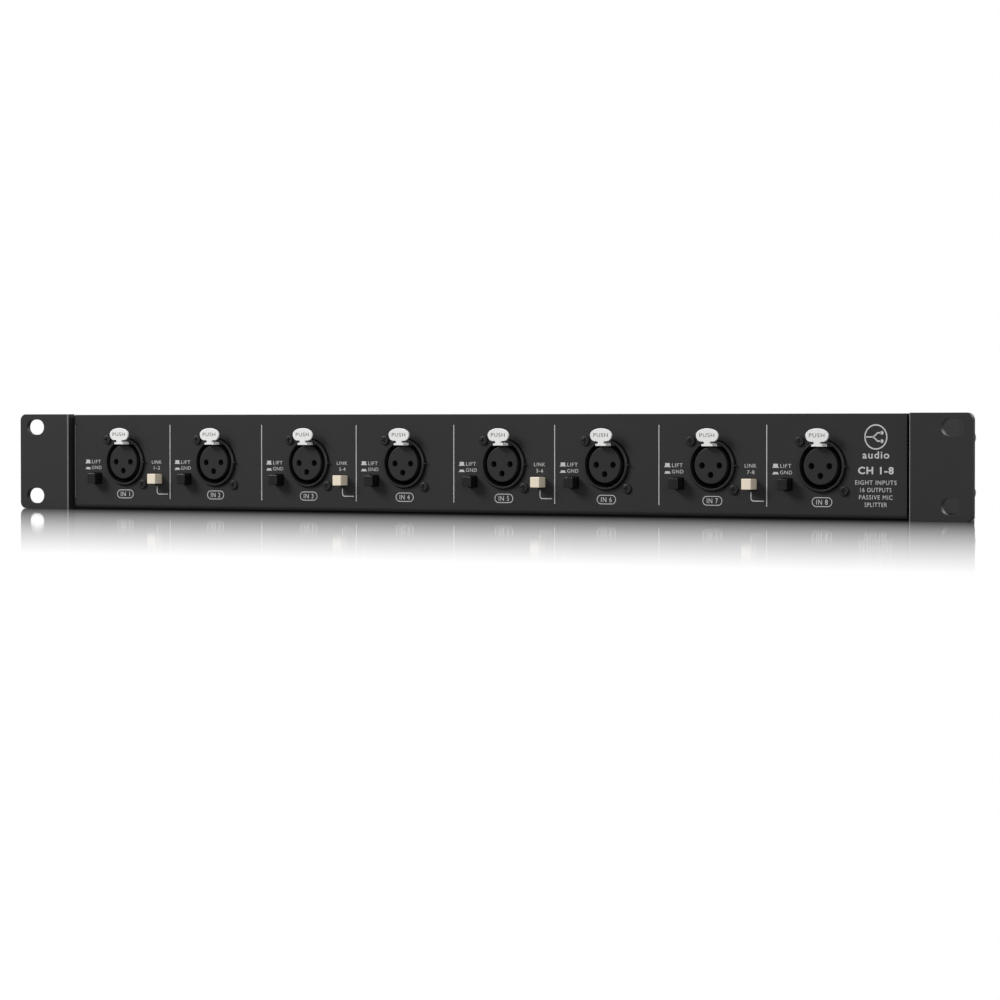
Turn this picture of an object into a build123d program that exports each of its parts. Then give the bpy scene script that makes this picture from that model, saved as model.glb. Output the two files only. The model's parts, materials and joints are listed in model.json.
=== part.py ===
from build123d import *
import os

# One-unit, 19-inch, eight-channel microphone splitter.
#
# Millimetres. +X runs to the right of the front panel, +Y runs into the case, +Z is up.
# The origin is the centre of the four rack slots, on the rear face of the ears, which is
# the plane that meets the rack rails and also the plane of the front panel's face.

os.makedirs("parts", exist_ok=True)

# ---- rack standard ----
RACK_WIDTH = 482.6
RACK_HEIGHT = 43.7
SLOT_SPACING_X = 465.1
SLOT_SPACING_Z = 31.75
SLOT_LENGTH = 10.0
SLOT_WIDTH = 7.0
EAR_SHEET = 2.5
EAR_LEG_LENGTH = 40.0
EAR_LEG_HEIGHT = 39.0
EAR_EDGE = 0.5
EAR_ROOT = 1.0
EAR_CORNER = 3.0

# ---- case ----
CASE_WIDTH = 427.0
CASE_HEIGHT = 43.1
CASE_DEPTH = 63.0
SHEET = 1.5
PANEL_WIDTH = 422.8
CASE_BEND = 2.0
INNER_BEND = 0.5
LIP_LENGTH = 8.0
LIP_DROP = 1.55
COVER_GAP = 0.1
RETURN_HEIGHT = 32.0
RETURN_DEPTH = 9.0

# ---- channels ----
CHANNEL_COUNT = 8
CHANNEL_PITCH = 50.8
ARRAY_CENTRE_X = -4.55
CHANNEL_X = [
    ARRAY_CENTRE_X + (i - (CHANNEL_COUNT - 1) / 2) * CHANNEL_PITCH for i in range(CHANNEL_COUNT)
]
BOUNDARY_X = [x + CHANNEL_PITCH / 2 for x in CHANNEL_X[:-1]]

# ---- input sockets ----
PANEL_HOLE_RADIUS = 11.1
SOCKET_RADIUS = 10.6
GROOVE_RADIUS = 9.7
INSERT_RADIUS = 7.7
COLLAR_PROUD = 1.4
COLLAR_CHAMFER = 0.35
NIB_REACH = 11.5
NIB_HEIGHT = 0.4
NIB_STEP = 0.15
INSERT_PROUD = 1.6
INSERT_EDGE = 0.4
GROOVE_END = 12.0
SOCKET_BACK = 20.9
SOCKET_FLANGE = (25.2, 26.0, 2.5)
FLANGE_CORNER = 2.0
FIT_GAP = 0.05
SOCKET_SCREW_OFFSET = (10.15, 10.1)
CONTACT_SPOTS = [(-4.06, 0.0), (4.06, 0.0), (0.0, -4.0)]
CONTACT_HOLE_RADIUS = 1.35
CONTACT_RADIUS = 1.3
CONTACT_BORE = 0.95
CONTACT_START = 3.0
CONTACT_END = 14.0
CONTACT_PLUG = 1.5
TAIL_RADIUS = 0.45

# ---- latch tabs ----
TAB_FRONT = 4.95
TAB_SHEET = 0.8
TAB_HALF_WIDTH = 5.2
TAB_HALF_HEIGHT = 2.75
TAB_CORNER = 2.4
TAB_CENTRE_Z = 12.7
TAB_NECK = 2.8
TAB_NECK_FILLET = 0.45
TAB_EDGE = 0.2
TAB_FOOT = 5.1
FOOT_BOTTOM_Z = 8.0
FOOT_TOP_Z = 8.9
ARM_END = 7.0
HOOK_RADIUS = 9.45
HOOK_FRONT = 1.0
HOOK_SHEET = 1.2
SPRING_WIDTH = 3.0
SPRING_SHEET = 0.35
SPRING_FRONT = 9.6
SPRING_FRONT_Z = 8.9
SPRING_BACK_Z = 8.3

# ---- push buttons ----
BUTTON_SIDE = 4.5
BUTTON_FRONT = 4.95
BUTTON_BACK = 5.2
STEM_SIDE = 2.6
STEM_END = 14.0
BUTTON_HOLE = 5.1
BUTTON_Z = -7.6
LIFT_OFFSET_X = -16.0
LINK_OFFSET_X = 18.3
SWITCH_SIDE = 6.8
SWITCH_FRONT = 8.6
SWITCH_BORE = 3.2
SWITCH_BORE_END = 17.5
SWITCH_CHAMFER = 0.4
SWITCH_LEADS = (4.0, 2.5)
LEAD_STUB = 1.0
BUTTON_CORNER = 0.3
BUTTON_EDGE = 0.25

# ---- circuit boards ----
BOARD_SHEET = 1.6
BOARD_WIDTH = 404.0
BOARD_HEIGHT = 36.0
BOARD_CENTRE_X = -2.0
FRONT_BOARD_Y = 21.0
REAR_BOARD_Y = CASE_DEPTH - 20.6
LEAD_HOLE_RADIUS = 0.6
SPACER_Z = 13.0
SPACER_RADIUS = 3.0

# ---- output connectors ----
OUTPUT_PITCH = 25.4
OUTPUT_RADIUS = 11.2
OUTPUT_HOLE_RADIUS = 11.5
OUTPUT_CAVITY_RADIUS = 9.6
OUTPUT_FACE = CASE_DEPTH + 1.2
OUTPUT_FLOOR = CASE_DEPTH - 15.0
OUTPUT_EDGE = 0.5
OUTPUT_KEY = (2.4, 1.4)
OUTPUT_FLANGE = (24.6, 29.0, 2.5)
OUTPUT_SCREW_OFFSET = (9.6, 11.6)
PIN_RADIUS = 1.2
PIN_TIP_Y = CASE_DEPTH - 2.5
PIN_NOSE = 0.9

# ---- fasteners ----
SMALL_HEAD = (2.1, 0.8)
SMALL_SHANK_RADIUS = 1.2
SMALL_SHANK_LENGTH = 5.0
SMALL_HEAD_FILLET = 0.5
SMALL_CROSS = (2.4, 0.5, 0.55)
SMALL_HOLE_RADIUS = 1.4
SIDE_HEAD = (2.0, 0.8)
SIDE_SHANK_RADIUS = 1.45
SIDE_SHANK_LENGTH = 6.0
SIDE_HEAD_FILLET = 0.45
SIDE_CROSS = (2.4, 0.6, 0.5)
SIDE_HOLE_RADIUS = 1.6
SIDE_SCREW_Y = CASE_DEPTH - 3.5
SIDE_SCREW_Z = 11.5
EAR_SCREW_Y = (9.0, 22.0)
LID_SCREW_X = (-150.0, -50.0, 50.0, 150.0)
LID_SCREW_Y = (5.6, CASE_DEPTH - 5.8)
LID_HEAD_RADIUS = 2.6
LID_HEAD_DEPTH = 1.35
LID_SHANK_LENGTH = 4.0

HALF_RACK = RACK_WIDTH / 2
HALF_CASE = CASE_WIDTH / 2
TOP_Z = CASE_HEIGHT / 2
BOARD_GAP = REAR_BOARD_Y - FRONT_BOARD_Y - BOARD_SHEET
LIFT_SPOTS = [(x + LIFT_OFFSET_X, BUTTON_Z) for x in CHANNEL_X]
LINK_SPOTS = [(x + LINK_OFFSET_X, BUTTON_Z) for x in CHANNEL_X[::2]]
DIRECT_X = [x - OUTPUT_PITCH / 2 for x in CHANNEL_X]
SPLIT_X = [x + OUTPUT_PITCH / 2 for x in CHANNEL_X]
OUTPUT_X = DIRECT_X + SPLIT_X
SPACER_SPOTS = [(BOUNDARY_X[i], z) for i in (1, 3, 5) for z in (-SPACER_Z, SPACER_Z)]
SIDE_SCREW_PLACES = [(SIDE_SCREW_Y, -SIDE_SCREW_Z), (SIDE_SCREW_Y, SIDE_SCREW_Z)]
EAR_SCREW_PLACES = [(y, z) for y in EAR_SCREW_Y for z in (-SIDE_SCREW_Z, SIDE_SCREW_Z)]


def facing(depth):
    """Plane parallel to the front panel at a depth behind its face, facing forwards."""
    return Plane.XZ.offset(-depth)


def diagonal_pair(offset):
    """The two screw spots of a connector, at its upper left and its lower right."""
    return [(-offset[0], offset[1]), (offset[0], -offset[1])]


def in_panel_plane(spots):
    """Spots given as (x, z), as 3-D places on the plane of the panel's face."""
    return [(x, 0, z) for x, z in spots]


SOCKET_SCREW_SPOTS = [(x + dx, dz) for x in CHANNEL_X for dx, dz in diagonal_pair(SOCKET_SCREW_OFFSET)]
OUTPUT_SCREW_SPOTS = [(x + dx, dz) for x in OUTPUT_X for dx, dz in diagonal_pair(OUTPUT_SCREW_OFFSET)]


# ---- chassis tray: front panel, floor and rear panel folded from one sheet ----
with BuildPart() as chassis_tray:
    with BuildSketch(Plane.YZ) as tray_section:
        with BuildLine():
            Polyline(
                (0, -TOP_Z),
                (CASE_DEPTH, -TOP_Z),
                (CASE_DEPTH, TOP_Z),
                (CASE_DEPTH - SHEET, TOP_Z),
                (CASE_DEPTH - SHEET, TOP_Z - LIP_DROP),
                (CASE_DEPTH - LIP_LENGTH, TOP_Z - LIP_DROP),
                (CASE_DEPTH - LIP_LENGTH, TOP_Z - LIP_DROP - SHEET),
                (CASE_DEPTH - SHEET, TOP_Z - LIP_DROP - SHEET),
                (CASE_DEPTH - SHEET, SHEET - TOP_Z),
                (SHEET, SHEET - TOP_Z),
                (SHEET, TOP_Z - LIP_DROP - SHEET),
                (LIP_LENGTH, TOP_Z - LIP_DROP - SHEET),
                (LIP_LENGTH, TOP_Z - LIP_DROP),
                (SHEET, TOP_Z - LIP_DROP),
                (SHEET, TOP_Z),
                (0, TOP_Z),
                close=True,
            )
        make_face()
        outer_bends = tray_section.vertices().group_by(Axis.Y)[0]
        fillet(outer_bends, CASE_BEND)
        inner_bends = [v for v in tray_section.vertices() if abs(v.Y - (SHEET - TOP_Z)) < 0.01]
        fillet(inner_bends, INNER_BEND)
    extrude(amount=PANEL_WIDTH / 2, both=True)
    # Side returns of the rear panel, which take the side screws
    with BuildSketch(facing(CASE_DEPTH - SHEET)):
        with GridLocations(PANEL_WIDTH - SHEET, 0, 2, 1):
            Rectangle(SHEET, RETURN_HEIGHT)
    extrude(amount=RETURN_DEPTH)
    with BuildSketch(facing(0)):
        with Locations(*[(x, 0) for x in CHANNEL_X]):
            Circle(PANEL_HOLE_RADIUS)
        with Locations(*LIFT_SPOTS, *LINK_SPOTS):
            Rectangle(BUTTON_HOLE, BUTTON_HOLE)
        with Locations(*SOCKET_SCREW_SPOTS):
            Circle(SMALL_HOLE_RADIUS)
    extrude(amount=-SHEET, mode=Mode.SUBTRACT)
    with BuildSketch(facing(CASE_DEPTH)):
        with Locations(*[(x, 0) for x in OUTPUT_X]):
            Circle(OUTPUT_HOLE_RADIUS)
        with Locations(*OUTPUT_SCREW_SPOTS):
            Circle(SMALL_HOLE_RADIUS)
    extrude(amount=SHEET, mode=Mode.SUBTRACT)
    with BuildSketch(Plane.YZ):
        with Locations(*SIDE_SCREW_PLACES):
            Circle(SIDE_HOLE_RADIUS)
    extrude(amount=HALF_CASE, both=True, mode=Mode.SUBTRACT)
    with BuildSketch(Plane.XY.offset(TOP_Z - LIP_DROP)):
        with Locations(*[(x, y) for x in LID_SCREW_X for y in LID_SCREW_Y]):
            Circle(SMALL_HOLE_RADIUS)
    extrude(amount=-SHEET, mode=Mode.SUBTRACT)
chassis_tray.part.label = "chassis_tray"
export_step(chassis_tray.part, "parts/chassis_tray.step")

# ---- top cover: lid and both sides ----
with BuildPart() as top_cover:
    with BuildSketch(facing(SHEET + COVER_GAP)) as cover_section:
        with BuildLine():
            Polyline(
                (-HALF_CASE, -TOP_Z),
                (-HALF_CASE, TOP_Z),
                (HALF_CASE, TOP_Z),
                (HALF_CASE, -TOP_Z),
                (HALF_CASE - SHEET, -TOP_Z),
                (HALF_CASE - SHEET, TOP_Z - SHEET),
                (SHEET - HALF_CASE, TOP_Z - SHEET),
                (SHEET - HALF_CASE, -TOP_Z),
                close=True,
            )
        make_face()
        fillet(cover_section.vertices().group_by(Axis.Y)[-1], CASE_BEND)
    extrude(amount=-(CASE_DEPTH - 2 * SHEET - 2 * COVER_GAP))
    with BuildSketch(Plane.YZ):
        with Locations(*SIDE_SCREW_PLACES, *EAR_SCREW_PLACES):
            Circle(SIDE_HOLE_RADIUS)
    extrude(amount=HALF_RACK, both=True, mode=Mode.SUBTRACT)
    with Locations(*[(x, y, TOP_Z) for x in LID_SCREW_X for y in LID_SCREW_Y]):
        CounterSinkHole(SMALL_HOLE_RADIUS, LID_HEAD_RADIUS + COVER_GAP, depth=2 * SHEET)
top_cover.part.label = "top_cover"
export_step(top_cover.part, "parts/top_cover.step")

# ---- rack ears: L-shaped brackets, one each side ----
with BuildPart() as right_rack_ear:
    with BuildSketch(Plane.XY.offset(-RACK_HEIGHT / 2)) as ear_section:
        with BuildLine():
            Polyline(
                (HALF_CASE, EAR_LEG_LENGTH),
                (HALF_CASE, -EAR_SHEET),
                (HALF_RACK, -EAR_SHEET),
                (HALF_RACK, 0),
                (HALF_CASE + EAR_SHEET, 0),
                (HALF_CASE + EAR_SHEET, EAR_LEG_LENGTH),
                close=True,
            )
        make_face()
        root = ear_section.vertices().sort_by_distance((HALF_CASE + EAR_SHEET, 0))[0]
        fillet(root, EAR_ROOT)
        bend = ear_section.vertices().sort_by_distance((HALF_CASE, -EAR_SHEET))[0]
        fillet(bend, EAR_EDGE)
    extrude(amount=RACK_HEIGHT)
    flange_ends = right_rack_ear.edges().filter_by(Axis.Y).group_by(Axis.X)[-1]
    fillet(flange_ends, EAR_CORNER)
    # The leg is lower than the flange
    with BuildSketch(Plane.YZ.offset(HALF_CASE)):
        with Locations((EAR_LEG_LENGTH / 2 + EAR_SHEET, 0)):
            Rectangle(EAR_LEG_LENGTH, 2 * RACK_HEIGHT)
            Rectangle(2 * EAR_LEG_LENGTH, EAR_LEG_HEIGHT, mode=Mode.SUBTRACT)
    extrude(amount=2 * EAR_SHEET, mode=Mode.SUBTRACT)
    with BuildSketch(facing(-EAR_SHEET)):
        with Locations((SLOT_SPACING_X / 2, 0)):
            with GridLocations(0, SLOT_SPACING_Z, 1, 2):
                SlotOverall(SLOT_LENGTH, SLOT_WIDTH)
    extrude(amount=-EAR_SHEET, mode=Mode.SUBTRACT)
    with BuildSketch(Plane.YZ.offset(HALF_CASE)):
        with Locations(*EAR_SCREW_PLACES):
            Circle(SIDE_HOLE_RADIUS)
    extrude(amount=EAR_SHEET, mode=Mode.SUBTRACT)
right_rack_ear.part.label = "right_rack_ear"
export_step(right_rack_ear.part, "parts/right_rack_ear.step")

with BuildPart() as left_rack_ear:
    add(right_rack_ear.part.mirror(Plane.YZ))
left_rack_ear.part.label = "left_rack_ear"
export_step(left_rack_ear.part, "parts/left_rack_ear.step")

# ---- input sockets: collar, panel flange and barrel, one for each channel ----
with BuildPart() as socket_shell:
    with BuildSketch(facing(-COLLAR_PROUD)):
        Circle(SOCKET_RADIUS)
    extrude(amount=-(SOCKET_BACK + COLLAR_PROUD))
    chamfer(socket_shell.edges().group_by(Axis.Y)[0], COLLAR_CHAMFER)
    with BuildSketch(facing(SHEET)):
        RectangleRounded(SOCKET_FLANGE[0], SOCKET_FLANGE[1], FLANGE_CORNER)
    extrude(amount=-SOCKET_FLANGE[2])
    with BuildSketch(facing(-COLLAR_PROUD)):
        Circle(GROOVE_RADIUS)
    extrude(amount=-(GROOVE_END + COLLAR_PROUD), mode=Mode.SUBTRACT)
    with BuildSketch(facing(GROOVE_END)):
        Circle(INSERT_RADIUS + FIT_GAP)
    extrude(amount=-(SOCKET_BACK - GROOVE_END), mode=Mode.SUBTRACT)
    with BuildSketch(facing(SHEET)):
        with Locations(*diagonal_pair(SOCKET_SCREW_OFFSET)):
            Circle(SMALL_SHANK_RADIUS + FIT_GAP)
    extrude(amount=-SOCKET_FLANGE[2], mode=Mode.SUBTRACT)
    # Index nib across the collar, on the right
    with BuildSketch(facing(NIB_STEP - COLLAR_PROUD)):
        with Locations(((GROOVE_RADIUS + NIB_REACH) / 2, 0)):
            Rectangle(NIB_REACH - GROOVE_RADIUS + NIB_STEP, NIB_HEIGHT)
    extrude(amount=2 * NIB_STEP - COLLAR_PROUD)

for number, x in enumerate(CHANNEL_X, 1):
    with BuildPart() as input_socket:
        with Locations((x, 0, 0)):
            add(socket_shell.part)
    input_socket.part.label = f"input_socket_{number}"
    export_step(input_socket.part, f"parts/input_socket_{number}.step")

# ---- contact inserts of the input sockets ----
with BuildPart() as insert_core:
    with BuildSketch(facing(-INSERT_PROUD)):
        Circle(INSERT_RADIUS)
    extrude(amount=-(SOCKET_BACK + INSERT_PROUD))
    fillet(insert_core.edges().group_by(Axis.Y)[0], INSERT_EDGE)
    with BuildSketch(facing(-INSERT_PROUD)):
        with Locations(*CONTACT_SPOTS):
            Circle(CONTACT_HOLE_RADIUS)
    extrude(amount=-(CONTACT_END + INSERT_PROUD), mode=Mode.SUBTRACT)
    with BuildSketch(facing(CONTACT_END)):
        with Locations(*CONTACT_SPOTS):
            Circle(TAIL_RADIUS + FIT_GAP)
    extrude(amount=-(SOCKET_BACK - CONTACT_END), mode=Mode.SUBTRACT)

with BuildPart() as input_inserts:
    with Locations(*[(x, 0, 0) for x in CHANNEL_X]):
        add(insert_core.part)
input_inserts.part.label = "input_inserts"
export_step(input_inserts.part, "parts/input_inserts.step")

# ---- tubular contacts, three in each insert, with tails through the front board ----
with BuildPart() as contact_tube:
    with BuildSketch(facing(CONTACT_START)):
        Circle(CONTACT_RADIUS)
    extrude(amount=-(CONTACT_END - CONTACT_START))
    with BuildSketch(facing(CONTACT_START)):
        Circle(CONTACT_BORE)
    extrude(amount=-(CONTACT_END - CONTACT_START - CONTACT_PLUG), mode=Mode.SUBTRACT)
    with BuildSketch(facing(CONTACT_END)):
        Circle(TAIL_RADIUS)
    extrude(amount=-(FRONT_BOARD_Y + BOARD_SHEET - CONTACT_END))

with BuildPart() as input_contacts:
    with Locations(*[(x + dx, 0, dz) for x in CHANNEL_X for dx, dz in CONTACT_SPOTS]):
        add(contact_tube.part)
input_contacts.part.label = "input_contacts"
export_step(input_contacts.part, "parts/input_contacts.step")

# ---- latch tabs: oval finger plate, neck, foot, and an arm with the hook that holds a plug ----
with BuildPart() as tab_blank:
    with BuildSketch(facing(-TAB_FRONT)) as tab_face:
        low_z = TAB_CENTRE_Z - TAB_HALF_HEIGHT
        corner_x = TAB_HALF_WIDTH - TAB_CORNER
        with BuildLine():
            EllipticalCenterArc((0, TAB_CENTRE_Z), TAB_HALF_WIDTH, TAB_HALF_HEIGHT, 0, arc_size=180)
            EllipticalCenterArc((-corner_x, TAB_CENTRE_Z), TAB_CORNER, TAB_HALF_HEIGHT, 180, arc_size=90)
            Line((-corner_x, low_z), (corner_x, low_z))
            EllipticalCenterArc((corner_x, TAB_CENTRE_Z), TAB_CORNER, TAB_HALF_HEIGHT, 270, arc_size=90)
        make_face()
        with Locations((0, (TAB_CENTRE_Z + FOOT_BOTTOM_Z) / 2)):
            Rectangle(TAB_NECK, TAB_CENTRE_Z - FOOT_BOTTOM_Z)
        with Locations((0, (FOOT_BOTTOM_Z + FOOT_TOP_Z) / 2)):
            Rectangle(TAB_FOOT, FOOT_TOP_Z - FOOT_BOTTOM_Z)
        neck_corners = [
            tab_face.vertices().sort_by_distance((side * TAB_NECK / 2, z))[0]
            for side in (-1, 1) for z in (low_z, FOOT_TOP_Z)
        ]
        fillet(neck_corners, TAB_NECK_FILLET)
    extrude(amount=-TAB_SHEET)
    fillet(tab_blank.edges().group_by(Axis.Y)[0], TAB_EDGE)
    with BuildSketch(facing(-TAB_FRONT + TAB_SHEET)):
        with Locations((0, (FOOT_BOTTOM_Z + FOOT_TOP_Z) / 2)):
            Rectangle(TAB_FOOT, FOOT_TOP_Z - FOOT_BOTTOM_Z)
    extrude(amount=-(ARM_END + TAB_FRONT - TAB_SHEET))
    with BuildSketch(facing(-HOOK_FRONT)):
        Circle(HOOK_RADIUS)
        with Locations((0, FOOT_BOTTOM_Z - HOOK_RADIUS)):
            Rectangle(2 * HOOK_RADIUS, 2 * HOOK_RADIUS, mode=Mode.SUBTRACT)
    extrude(amount=-HOOK_SHEET)

for number, x in enumerate(CHANNEL_X, 1):
    with BuildPart() as latch_tab:
        with Locations((x, 0, 0)):
            add(tab_blank.part)
    latch_tab.part.label = f"latch_tab_{number}"
    export_step(latch_tab.part, f"parts/latch_tab_{number}.step")

# ---- leaf springs behind the latch tabs ----
with BuildPart() as leaf_spring:
    with BuildSketch(Plane.YZ.offset(-SPRING_WIDTH / 2)):
        with BuildLine():
            Polyline(
                (SPRING_FRONT, SPRING_FRONT_Z),
                (GROOVE_END, SPRING_BACK_Z),
                (GROOVE_END, SPRING_BACK_Z + SPRING_SHEET),
                (SPRING_FRONT, SPRING_FRONT_Z + SPRING_SHEET),
                close=True,
            )
        make_face()
    extrude(amount=SPRING_WIDTH)

with BuildPart() as latch_springs:
    with Locations(*[(x, 0, 0) for x in CHANNEL_X]):
        add(leaf_spring.part)
latch_springs.part.label = "latch_springs"
export_step(latch_springs.part, "parts/latch_springs.step")

# ---- push buttons: square cap with a plunger stem ----
with BuildPart() as button_blank:
    with BuildSketch(facing(-BUTTON_FRONT)):
        Rectangle(BUTTON_SIDE, BUTTON_SIDE)
    extrude(amount=-(BUTTON_BACK + BUTTON_FRONT))
    fillet(button_blank.edges().filter_by(Axis.Y), BUTTON_CORNER)
    fillet(button_blank.edges().group_by(Axis.Y)[0], BUTTON_EDGE)
    with BuildSketch(facing(BUTTON_BACK)):
        Rectangle(STEM_SIDE, STEM_SIDE)
    extrude(amount=-(STEM_END - BUTTON_BACK))

for number, (x, z) in enumerate(LIFT_SPOTS, 1):
    with BuildPart() as lift_button:
        with Locations((x, 0, z)):
            add(button_blank.part)
    lift_button.part.label = f"lift_button_{number}"
    export_step(lift_button.part, f"parts/lift_button_{number}.step")

for number, (x, z) in enumerate(LINK_SPOTS, 1):
    with BuildPart() as link_button:
        with Locations((x, 0, z)):
            add(button_blank.part)
    link_button.part.label = f"link_button_{number}"
    export_step(link_button.part, f"parts/link_button_{number}.step")

# ---- switch bodies on the front board, behind the buttons ----
with BuildPart() as switch_body:
    with BuildSketch(facing(SWITCH_FRONT)):
        Rectangle(SWITCH_SIDE, SWITCH_SIDE)
    extrude(amount=-(FRONT_BOARD_Y - SWITCH_FRONT))
    chamfer(switch_body.edges().group_by(Axis.Y)[0], SWITCH_CHAMFER)
    with BuildSketch(facing(SWITCH_FRONT)):
        Rectangle(SWITCH_BORE, SWITCH_BORE)
    extrude(amount=-(SWITCH_BORE_END - SWITCH_FRONT), mode=Mode.SUBTRACT)
    with BuildSketch(facing(FRONT_BOARD_Y)):
        with GridLocations(*SWITCH_LEADS, 2, 3):
            Circle(TAIL_RADIUS)
    extrude(amount=-(BOARD_SHEET + LEAD_STUB))

with BuildPart() as lift_switch_bodies:
    with Locations(*in_panel_plane(LIFT_SPOTS)):
        add(switch_body.part)
lift_switch_bodies.part.label = "lift_switch_bodies"
export_step(lift_switch_bodies.part, "parts/lift_switch_bodies.step")

with BuildPart() as link_switch_bodies:
    with Locations(*in_panel_plane(LINK_SPOTS)):
        add(switch_body.part)
link_switch_bodies.part.label = "link_switch_bodies"
export_step(link_switch_bodies.part, "parts/link_switch_bodies.step")

# ---- front board: carries the sockets, switches and transformers ----
with BuildPart() as front_board:
    with BuildSketch(facing(FRONT_BOARD_Y)):
        with Locations((BOARD_CENTRE_X, 0)):
            Rectangle(BOARD_WIDTH, BOARD_HEIGHT)
        with Locations(*[(x + dx, dz) for x in CHANNEL_X for dx, dz in CONTACT_SPOTS]):
            Circle(LEAD_HOLE_RADIUS, mode=Mode.SUBTRACT)
        with Locations(*LIFT_SPOTS, *LINK_SPOTS):
            with GridLocations(*SWITCH_LEADS, 2, 3):
                Circle(LEAD_HOLE_RADIUS, mode=Mode.SUBTRACT)
    extrude(amount=-BOARD_SHEET)
front_board.part.label = "front_board"
export_step(front_board.part, "parts/front_board.step")

# ---- rear board: carries the output connectors ----
with BuildPart() as rear_board:
    with BuildSketch(facing(REAR_BOARD_Y)):
        with Locations((BOARD_CENTRE_X, 0)):
            Rectangle(BOARD_WIDTH, BOARD_HEIGHT)
        with Locations(*[(x + dx, dz) for x in OUTPUT_X for dx, dz in CONTACT_SPOTS]):
            Circle(LEAD_HOLE_RADIUS, mode=Mode.SUBTRACT)
    extrude(amount=-BOARD_SHEET)
rear_board.part.label = "rear_board"
export_step(rear_board.part, "parts/rear_board.step")

# ---- board spacers: hexagonal, between the two boards ----
with BuildPart() as board_spacers:
    with BuildSketch(facing(FRONT_BOARD_Y + BOARD_SHEET)):
        with Locations(*SPACER_SPOTS):
            RegularPolygon(SPACER_RADIUS, 6)
    extrude(amount=-BOARD_GAP)
board_spacers.part.label = "board_spacers"
export_step(board_spacers.part, "parts/board_spacers.step")

# ---- transformers: insulating pad, laminated core, bobbin and winding, one for each channel ----
PAD_SHEET = 0.6
CORE_FRONT = FRONT_BOARD_Y + BOARD_SHEET + PAD_SHEET
CORE_WIDTH = 20.0
CORE_LENGTH = 15.6
CORE_HEIGHT = 10.0
WINDOW_WIDTH = 4.4
WINDOW_LENGTH = 10.0
LEG_WIDTH = 5.6
WINDOW_FRONT = CORE_FRONT + (CORE_LENGTH - WINDOW_LENGTH) / 2
LEG_CENTRE_X = (LEG_WIDTH + WINDOW_WIDTH) / 2
PAD_MARGIN = 1.0
BOBBIN_WALL = 0.6
BOBBIN_GAP = 0.05
CHEEK_WIDTH = LEG_WIDTH + 2 * WINDOW_WIDTH - 0.2
CHEEK_HEIGHT = CORE_HEIGHT + 6.4
COIL_MARGIN = 0.2
COIL_FRONT = WINDOW_FRONT + BOBBIN_GAP + BOBBIN_WALL + 0.1
COIL_CORNER = 2.0

with BuildPart() as transformer_pads:
    with BuildSketch(facing(FRONT_BOARD_Y + BOARD_SHEET)):
        with Locations(*[(x, 0) for x in CHANNEL_X]):
            Rectangle(CORE_WIDTH + PAD_MARGIN, CORE_HEIGHT + 2 * PAD_MARGIN)
    extrude(amount=-PAD_SHEET)
transformer_pads.part.label = "transformer_pads"
export_step(transformer_pads.part, "parts/transformer_pads.step")

with BuildPart() as core_stack:
    with BuildSketch(Plane.XY.offset(-CORE_HEIGHT / 2)):
        with Locations((0, CORE_FRONT + CORE_LENGTH / 2)):
            Rectangle(CORE_WIDTH, CORE_LENGTH)
            with Locations((-LEG_CENTRE_X, 0), (LEG_CENTRE_X, 0)):
                Rectangle(WINDOW_WIDTH, WINDOW_LENGTH, mode=Mode.SUBTRACT)
    extrude(amount=CORE_HEIGHT)

with BuildPart() as transformer_cores:
    with Locations(*[(x, 0, 0) for x in CHANNEL_X]):
        add(core_stack.part)
transformer_cores.part.label = "transformer_cores"
export_step(transformer_cores.part, "parts/transformer_cores.step")

with BuildPart() as bobbin_form:
    with BuildSketch(facing(WINDOW_FRONT + BOBBIN_GAP)):
        Rectangle(LEG_WIDTH + 2 * BOBBIN_WALL, CORE_HEIGHT + 2 * BOBBIN_WALL)
    extrude(amount=-(WINDOW_LENGTH - 2 * BOBBIN_GAP))
    rear_cheek = WINDOW_FRONT + WINDOW_LENGTH - BOBBIN_GAP - BOBBIN_WALL
    for cheek_front in (WINDOW_FRONT + BOBBIN_GAP, rear_cheek):
        with BuildSketch(facing(cheek_front)):
            Rectangle(CHEEK_WIDTH, CHEEK_HEIGHT)
        extrude(amount=-BOBBIN_WALL)
    with BuildSketch(facing(WINDOW_FRONT)):
        Rectangle(LEG_WIDTH + 2 * BOBBIN_GAP, CORE_HEIGHT + 2 * BOBBIN_GAP)
    extrude(amount=-WINDOW_LENGTH, mode=Mode.SUBTRACT)

with BuildPart() as transformer_bobbins:
    with Locations(*[(x, 0, 0) for x in CHANNEL_X]):
        add(bobbin_form.part)
transformer_bobbins.part.label = "transformer_bobbins"
export_step(transformer_bobbins.part, "parts/transformer_bobbins.step")

with BuildPart() as winding:
    with BuildSketch(facing(COIL_FRONT)):
        RectangleRounded(CHEEK_WIDTH - 2 * COIL_MARGIN, CHEEK_HEIGHT - 4 * COIL_MARGIN, COIL_CORNER)
        former = BOBBIN_WALL + BOBBIN_GAP
        Rectangle(LEG_WIDTH + 2 * former, CORE_HEIGHT + 2 * former, mode=Mode.SUBTRACT)
    extrude(amount=-(WINDOW_LENGTH - 2 * (COIL_FRONT - WINDOW_FRONT)))

with BuildPart() as transformer_coils:
    with Locations(*[(x, 0, 0) for x in CHANNEL_X]):
        add(winding.part)
transformer_coils.part.label = "transformer_coils"
export_step(transformer_coils.part, "parts/transformer_coils.step")

# ---- ribbon cables and their headers, between the boards ----
RIBBON_X = [BOUNDARY_X[i] for i in (0, 2, 4, 6)]
HEADER_DEPTH = 4.0
HEADER_WIDTH = 14.0
HEADER_HEIGHT = 5.0
RIBBON_WIDTH = 11.0
RIBBON_SHEET = 1.0
RIBBON_RISE = 3.0

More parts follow.
